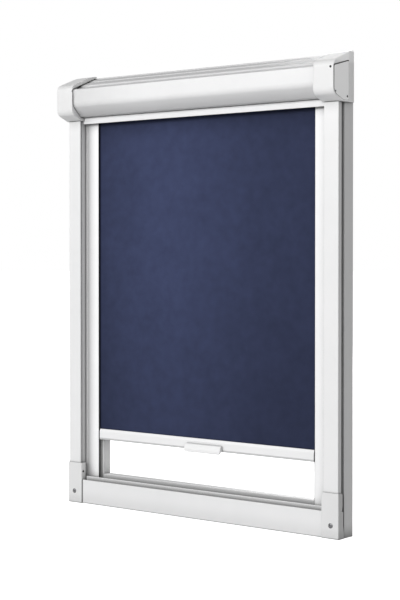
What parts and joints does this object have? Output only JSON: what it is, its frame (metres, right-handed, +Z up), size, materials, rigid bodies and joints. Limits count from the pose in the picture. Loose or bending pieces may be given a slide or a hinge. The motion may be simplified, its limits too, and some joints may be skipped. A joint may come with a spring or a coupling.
{
  "type": "skylight window blind",
  "caption": "Framed roller blind for a roof window: blackout fabric on a sprung roller in a sloped head, grooved side guides and a pull bar with a finger grip.",
  "frame": {"origin": "centre of the bottom rail's rear face, which seats on the window's sash", "axes": "+Z up along the side rails towards the head, +Y out of the rear face towards the window, +X across to the right as seen from the room"},
  "size_m": [0.6238, 0.0672, 0.796],
  "materials": {
    "white_coat": "satin white powder coat on extruded aluminium",
    "white_plastic": "fine matt white moulding",
    "navy_fabric": "smooth coated blackout fabric, navy",
    "bright_steel": "zinc-plated steel",
    "grey_plastic": "grey slide plastic",
    "bare_aluminium": "mill-finished extruded tube",
    "dark_felt": "dense dark felt"
  },
  "bodies": {
    "frame": {"side_rail_left": "white_coat", "side_rail_right": "white_coat", "bottom_rail": "white_coat", "head_profile": "white_coat", "head_cover": "white_coat", "exit_strip": "white_coat", "corner_bracket_left": "white_plastic", "corner_bracket_right": "white_plastic", "end_cap_left": "white_plastic", "end_cap_right": "white_plastic", "cap_panel_left": "white_plastic", "cap_panel_right": "white_plastic", "fabric_sheet": "navy_fabric", "bracket_screw_left": "bright_steel", "bracket_screw_right": "bright_steel", "cap_screw_left_rear": "bright_steel", "cap_screw_left_front": "bright_steel", "cap_screw_right_rear": "bright_steel", "cap_screw_right_front": "bright_steel", "bearing_plate_left": "bright_steel", "bearing_plate_right": "bright_steel", "spring_shaft": "bright_steel", "idle_pin": "bright_steel", "wind_up_spring": "bright_steel"},
    "roller": {"roller_tube": "bare_aluminium", "fabric_roll": "navy_fabric", "spring_plug": "grey_plastic", "idle_plug": "grey_plastic"},
    "bar": {"bottom_bar": "white_coat", "bar_keder": "grey_plastic", "pull_handle": "white_plastic", "bar_glide_left": "grey_plastic", "bar_glide_right": "grey_plastic", "brake_pad_left": "dark_felt", "brake_pad_right": "dark_felt"}
  },
  "joints": [
    {"name": "bar_slide", "type": "slide", "parent": "frame", "child": "bar", "axis": [0, 0, 1], "range_m": [-0.065, 0.56], "deforming": ["fabric_sheet"]},
    {"name": "roller_spin", "type": "hinge", "parent": "frame", "child": "roller", "pos_m": [0, -0.0358, 0.7227], "axis": [1, 0, 0], "range_deg": [-260, 2200]}
  ],
  "couplings": [
    {"joint": "roller_spin", "follows": "bar_slide", "rad_per_m": 66.225}
  ]
}
